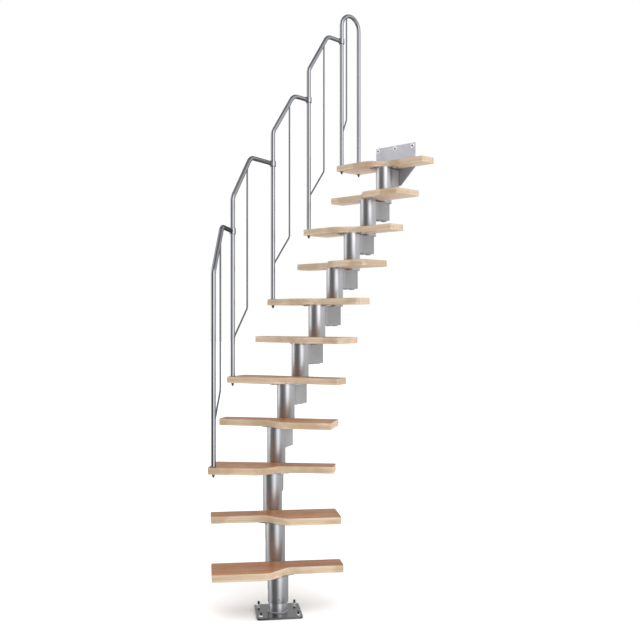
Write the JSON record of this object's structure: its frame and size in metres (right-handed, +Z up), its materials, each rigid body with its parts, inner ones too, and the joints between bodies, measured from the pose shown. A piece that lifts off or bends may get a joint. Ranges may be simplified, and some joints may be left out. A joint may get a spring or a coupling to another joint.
{
  "type": "central stringer staircase",
  "caption": "Space-saving stair: alternating paddle treads on a spine of stepped round tubes that curves into a straight run, with a tube handrail on one side.",
  "frame": {"origin": "centre of the base plate, on its underside, where the stair stands on the floor", "axes": "+Z up; +Y square into the wall that the top bracket bolts to, the way the straight upper flight climbs; +X to the right of that"},
  "size_m": [1.0824, 1.8584, 3.4569],
  "materials": {
    "base": "dark grey satin-gloss enamel, worn bright at the edges",
    "spine": "silver-grey satin-gloss enamel",
    "connector": "mid-grey fine-textured powder coat",
    "wall_plate": "light grey satin enamel",
    "tread": "clear-lacquered laminated beech, plies showing on the edges",
    "rail": "grey satin-gloss enamel",
    "nut": "blackened zinc"
  },
  "bodies": {
    "root": {"base_plate": "base", "spine_tube_1": "spine", "spine_tube_2": "spine", "spine_tube_3": "spine", "spine_tube_4": "spine", "spine_tube_5": "spine", "spine_tube_6": "spine", "spine_tube_7": "spine", "spine_tube_8": "spine", "spine_tube_9": "spine", "spine_tube_10": "spine", "spine_tube_11": "spine", "connector_1": "connector", "connector_2": "connector", "connector_3": "connector", "connector_4": "connector", "connector_5": "connector", "connector_6": "connector", "connector_7": "connector", "connector_8": "connector", "connector_9": "connector", "connector_10": "connector", "wall_connector": "connector", "wall_plate": "wall_plate", "tread_1": "tread", "tread_2": "tread", "tread_3": "tread", "tread_4": "tread", "tread_5": "tread", "tread_6": "tread", "tread_7": "tread", "tread_8": "tread", "tread_9": "tread", "tread_10": "tread", "tread_11": "tread", "rail_1": "rail", "rail_2": "rail", "rail_3": "rail", "rail_4": "rail", "rail_5": "rail", "rail_nuts": "nut"}
  },
  "joints": []
}
